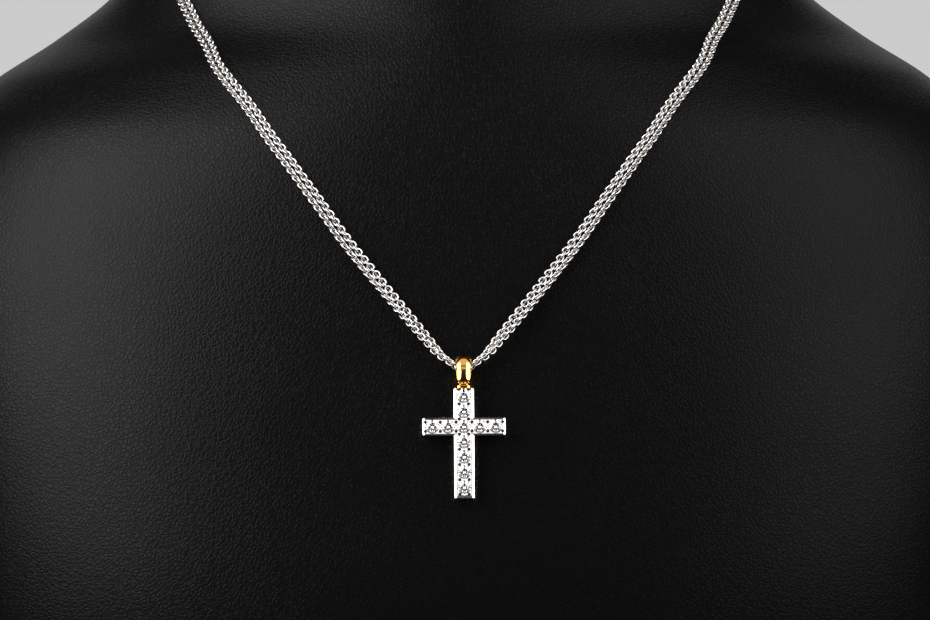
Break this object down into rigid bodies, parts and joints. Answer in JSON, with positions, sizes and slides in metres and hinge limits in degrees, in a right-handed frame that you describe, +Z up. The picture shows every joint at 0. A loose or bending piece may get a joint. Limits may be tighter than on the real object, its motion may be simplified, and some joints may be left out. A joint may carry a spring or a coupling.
{
  "type": "cross pendant necklace on a neck bust",
  "caption": "Gem-set cross pendant on a gold bail, hung on two fine cable chains that lie side by side on a plain neck bust.",
  "frame": {"origin": "middle of the bust's flat base, on the surface that it stands on", "axes": "+Z up, the chest and the cross face -Y, +X to the right as seen from the front"},
  "size_m": [0.2242, 0.1229, 0.262],
  "materials": {
    "black_leatherette": "fine wrinkled grain, satin",
    "white_metal": "polished",
    "yellow_gold": "polished",
    "white_gold": "polished",
    "brilliant": "clear, cut with facets"
  },
  "bodies": {
    "bust": {"neck_bust": "black_leatherette", "chain_inner": "white_metal", "chain_outer": "white_metal", "clasp": "white_metal"},
    "pendant": {"bail": "yellow_gold", "cross_frame": "white_gold", "stone_1": "brilliant", "stone_2": "brilliant", "stone_3": "brilliant", "stone_4": "brilliant", "stone_5": "brilliant", "stone_6": "brilliant", "stone_7": "brilliant", "stone_8": "brilliant", "stone_9": "brilliant", "stone_10": "brilliant", "stone_11": "brilliant"}
  },
  "joints": [
    {"name": "pendant_swing", "type": "hinge", "parent": "bust", "child": "pendant", "pos_m": [0, -0.05291, 0.11653], "axis": [-1, 0, 0], "range_deg": [0, 90]}
  ]
}
